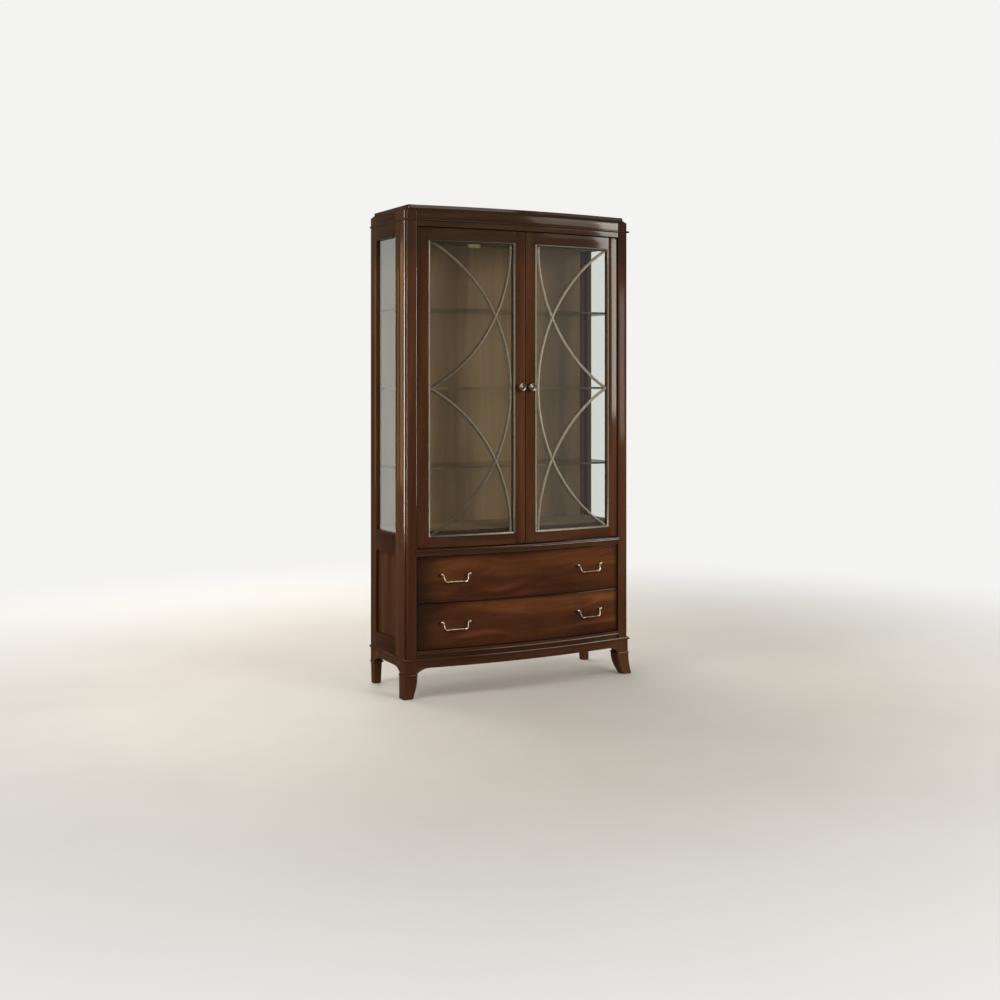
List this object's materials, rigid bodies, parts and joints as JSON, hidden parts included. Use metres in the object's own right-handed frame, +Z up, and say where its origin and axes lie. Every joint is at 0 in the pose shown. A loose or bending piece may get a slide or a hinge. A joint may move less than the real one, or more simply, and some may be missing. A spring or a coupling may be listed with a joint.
{
  "type": "china cabinet",
  "caption": "Bow-front display cabinet on splayed legs, glazed doors with curved fretwork above bowed drawers with bail pulls, glass shelves and lights inside.",
  "frame": {"origin": "on the floor under the centre of the cabinet's box", "axes": "+Z up, the doors and drawers face -Y, +X is to the right of someone facing the doors"},
  "size_m": [1.136, 0.4424, 2.083],
  "materials": {
    "mahogany": "satin lacquer, dark stained",
    "panel_mahogany": "satin lacquer, dark stained",
    "figured_mahogany": "satin lacquer over figured veneer",
    "inside_wood": "matt lacquer",
    "champagne_metal": "satin champagne paint",
    "pewter": "aged pewter plate",
    "steel": "zinc plated",
    "clear_glass": "clear",
    "shelf_glass": "clear, polished edges",
    "white_plastic": "matt",
    "frosted_lens": "frosted"
  },
  "bodies": {
    "case": {"front_post_left": "mahogany", "front_post_right": "mahogany", "back_post_left": "mahogany", "back_post_right": "mahogany", "front_leg_left": "mahogany", "front_leg_right": "mahogany", "back_leg_left": "mahogany", "back_leg_right": "mahogany", "side_frame_left": "mahogany", "side_frame_right": "mahogany", "side_glass_left": "clear_glass", "side_glass_right": "clear_glass", "side_panel_left": "panel_mahogany", "side_panel_right": "panel_mahogany", "top_cap": "mahogany", "cornice_band": "mahogany", "cornice_bead": "mahogany", "top_rail": "mahogany", "ceiling_panel": "inside_wood", "display_deck": "inside_wood", "case_bottom": "inside_wood", "back_panel_upper": "inside_wood", "back_panel_lower": "inside_wood", "waist_rail": "mahogany", "bottom_rail": "mahogany", "base_bead": "mahogany", "front_apron": "mahogany", "side_and_back_aprons": "mahogany", "shelf_upper": "shelf_glass", "shelf_middle": "shelf_glass", "shelf_lower": "shelf_glass", "shelf_pins": "steel", "light_housings": "white_plastic", "light_lenses": "frosted_lens", "case_pivots": "steel", "drawer_runners": "inside_wood"},
    "left_door": {"left_hinge_stile": "mahogany", "left_lock_stile": "mahogany", "left_door_rails": "mahogany", "left_door_glass": "clear_glass", "left_fretwork": "champagne_metal", "left_knob": "pewter", "left_hinge_leaves": "steel"},
    "right_door": {"right_hinge_stile": "mahogany", "right_lock_stile": "mahogany", "right_door_rails": "mahogany", "right_door_glass": "clear_glass", "right_fretwork": "champagne_metal", "right_knob": "pewter", "right_hinge_leaves": "steel"},
    "upper_drawer": {"upper_drawer_front": "figured_mahogany", "upper_drawer_box": "inside_wood", "upper_pull_posts": "pewter"},
    "lower_drawer": {"lower_drawer_front": "figured_mahogany", "lower_drawer_box": "inside_wood", "lower_pull_posts": "pewter"},
    "upper_left_bail_swing": {"upper_left_bail": "pewter"},
    "upper_right_bail_swing": {"upper_right_bail": "pewter"},
    "lower_left_bail_swing": {"lower_left_bail": "pewter"},
    "lower_right_bail_swing": {"lower_right_bail": "pewter"}
  },
  "joints": [
    {"name": "left_door_hinge", "type": "hinge", "parent": "case", "child": "left_door", "pos_m": [-0.497, -0.15675, 0.627], "axis": [0, 0, -1], "range_deg": [0, 100]},
    {"name": "right_door_hinge", "type": "hinge", "parent": "case", "child": "right_door", "pos_m": [0.497, -0.15675, 0.627], "axis": [0, 0, 1], "range_deg": [0, 100]},
    {"name": "upper_drawer_slide", "type": "slide", "parent": "case", "child": "upper_drawer", "axis": [0, -1, 0], "range_m": [0, 0.25]},
    {"name": "lower_drawer_slide", "type": "slide", "parent": "case", "child": "lower_drawer", "axis": [0, -1, 0], "range_m": [0, 0.25]},
    {"name": "upper_left_bail_hinge", "type": "hinge", "parent": "upper_drawer", "child": "upper_left_bail_swing", "pos_m": [-0.33352, -0.19009, 0.5154], "axis": [-0.9941, 0.1086, 0], "range_deg": [0, 85]},
    {"name": "upper_right_bail_hinge", "type": "hinge", "parent": "upper_drawer", "child": "upper_right_bail_swing", "pos_m": [0.33352, -0.19009, 0.5154], "axis": [-0.9941, -0.1086, 0], "range_deg": [0, 85]},
    {"name": "lower_left_bail_hinge", "type": "hinge", "parent": "lower_drawer", "child": "lower_left_bail_swing", "pos_m": [-0.33352, -0.19009, 0.3122], "axis": [-0.9941, 0.1086, 0], "range_deg": [0, 85]},
    {"name": "lower_right_bail_hinge", "type": "hinge", "parent": "lower_drawer", "child": "lower_right_bail_swing", "pos_m": [0.33352, -0.19009, 0.3122], "axis": [-0.9941, -0.1086, 0], "range_deg": [0, 85]}
  ]
}
